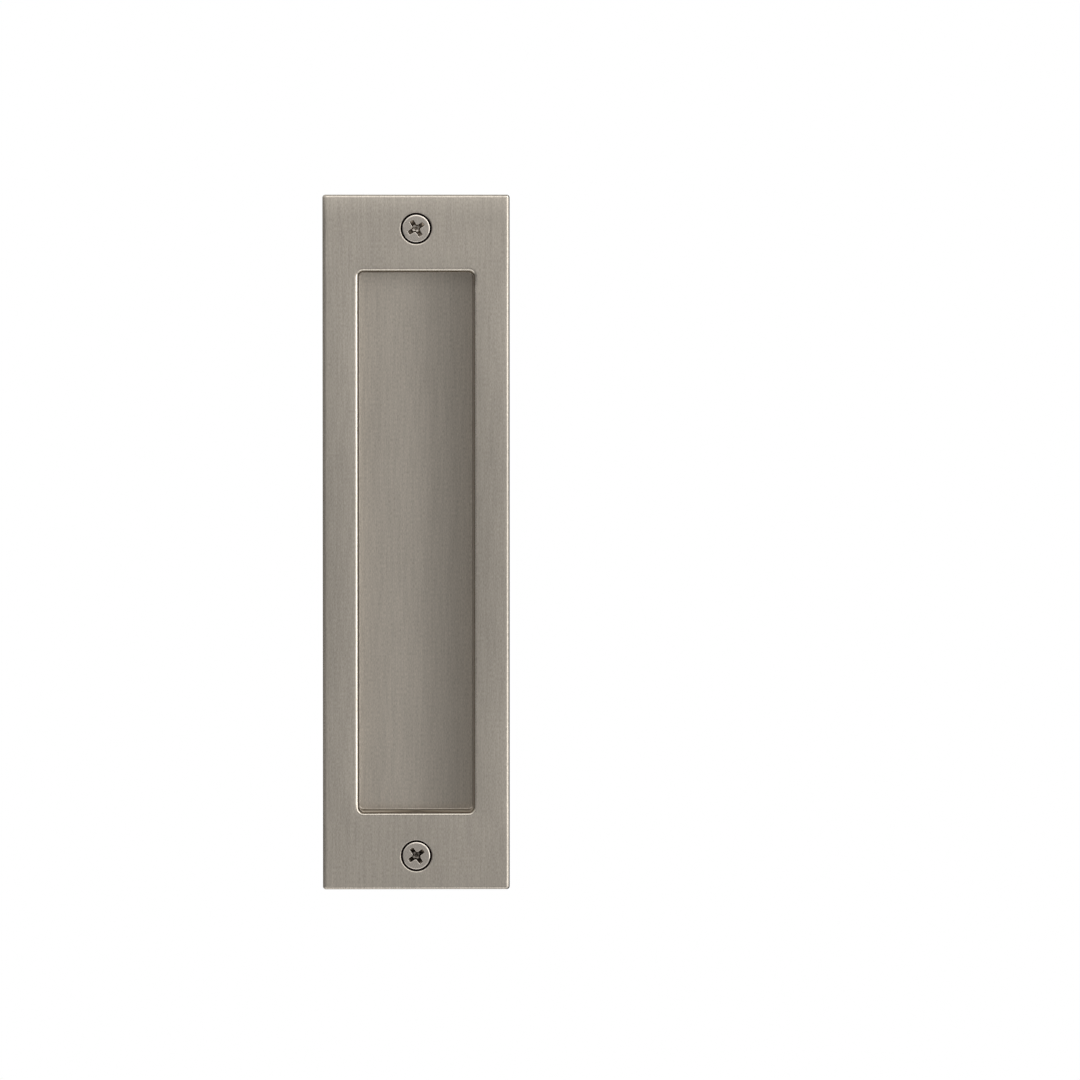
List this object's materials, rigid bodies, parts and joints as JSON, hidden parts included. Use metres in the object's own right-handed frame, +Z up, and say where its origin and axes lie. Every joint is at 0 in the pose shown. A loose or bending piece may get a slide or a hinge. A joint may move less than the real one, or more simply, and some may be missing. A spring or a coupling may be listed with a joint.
{
  "type": "pocket door pull",
  "caption": "Recessed rectangular finger pull for a sliding pocket door: a flat plate with a deep finger cup, fixed by a countersunk screw near each end.",
  "frame": {"origin": "centre of the plate's flat back face, where it lies on the door", "axes": "+X to the right as seen from the room, +Y into the door, +Z up along the plate's length"},
  "size_m": [0.0508, 0.032, 0.1888],
  "materials": {
    "satin_nickel": "cast brass with a satin nickel plating, brushed along the plate's length",
    "screw_nickel": "nickel-plated steel, brighter than the plate"
  },
  "bodies": {
    "root": {"recessed_plate": "satin_nickel", "upper_screw": "screw_nickel", "lower_screw": "screw_nickel"}
  },
  "joints": []
}
